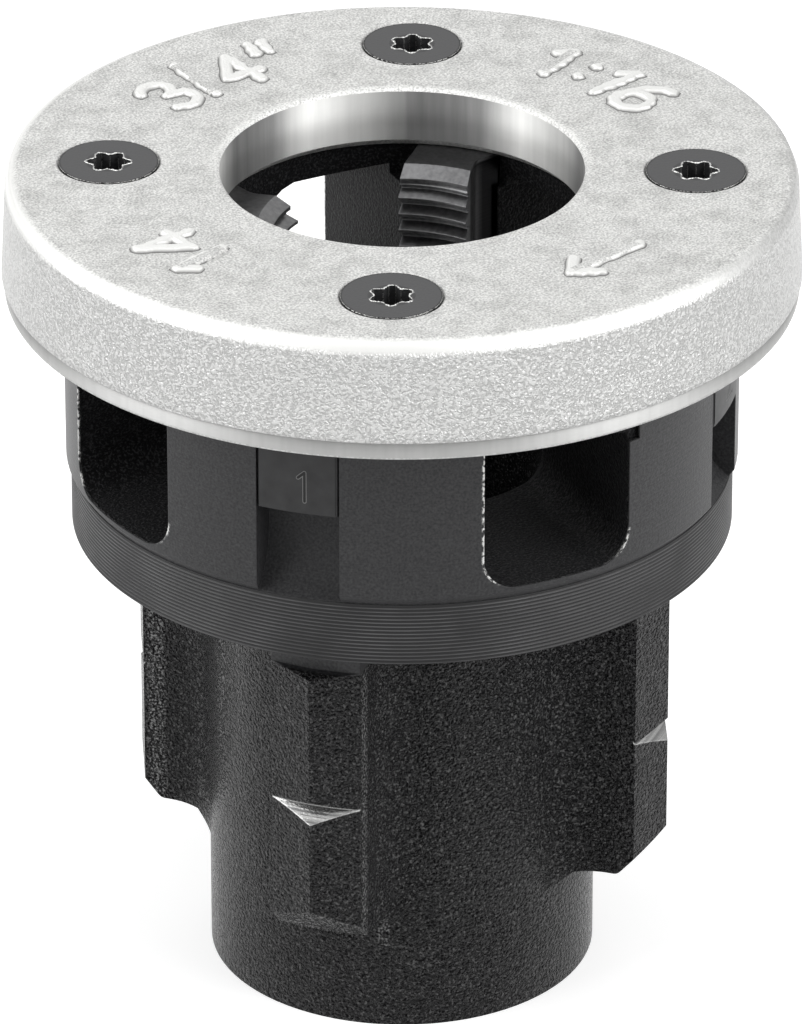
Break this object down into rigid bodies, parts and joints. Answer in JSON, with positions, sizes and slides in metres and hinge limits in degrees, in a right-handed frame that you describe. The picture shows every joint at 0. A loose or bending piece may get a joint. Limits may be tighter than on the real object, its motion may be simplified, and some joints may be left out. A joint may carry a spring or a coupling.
{
  "type": "pipe threading die head",
  "caption": "Round pipe-threading head: a windowed body with a ribbed drive sleeve holds threading dies under a screwed-on cover plate.",
  "frame": {"origin": "centre of the sleeve's lower end face, where the pipe enters", "axes": "+Z along the pipe axis, from the sleeve towards the cover; -Y and +Y through one pair of chip windows"},
  "size_m": [0.0792, 0.0792, 0.0869],
  "materials": {
    "body_casting": "blackened casting, rough as cast, turned bright-black on the upper cylinder and band",
    "cover_casting": "light shot-blasted casting with a turned lip and bore",
    "die_steel": "ground tool steel, satin",
    "screw_steel": "dark oxide, worn at the edges"
  },
  "bodies": {
    "root": {"head_body": "body_casting", "cover_plate": "cover_casting", "die_1": "die_steel", "die_2": "die_steel", "die_3": "die_steel", "die_4": "die_steel", "cover_screw_1": "screw_steel", "cover_screw_2": "screw_steel", "cover_screw_3": "screw_steel", "cover_screw_4": "screw_steel"}
  },
  "joints": []
}
